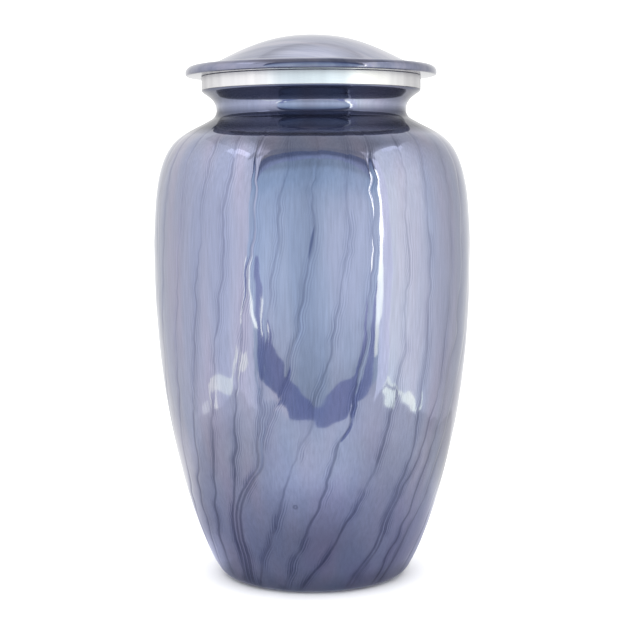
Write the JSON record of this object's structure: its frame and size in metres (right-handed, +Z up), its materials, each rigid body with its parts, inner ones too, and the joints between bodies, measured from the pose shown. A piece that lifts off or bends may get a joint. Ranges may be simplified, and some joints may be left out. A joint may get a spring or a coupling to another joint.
{
  "type": "funeral urn",
  "caption": "Ovoid cast-metal urn with a narrow neck, a bare metal rim band and a low domed lid that lifts off; hollow and empty.",
  "frame": {"origin": "centre of the underside, on the surface that the urn stands on", "axes": "+Z up along the urn's axis of symmetry; X and Y are level and alike, because the solids are round, and -Y is the side drawn as the front"},
  "size_m": [0.1554, 0.1554, 0.2662],
  "materials": {
    "blue_enamel": "pearly lavender-blue enamel with dark wavy veins running up the body, under a deep gloss coat",
    "bare_aluminium": "bare turned aluminium with a fine satin grain"
  },
  "bodies": {
    "root": {"body": "blue_enamel", "rim_ring": "bare_aluminium", "lid": "blue_enamel"}
  },
  "joints": []
}
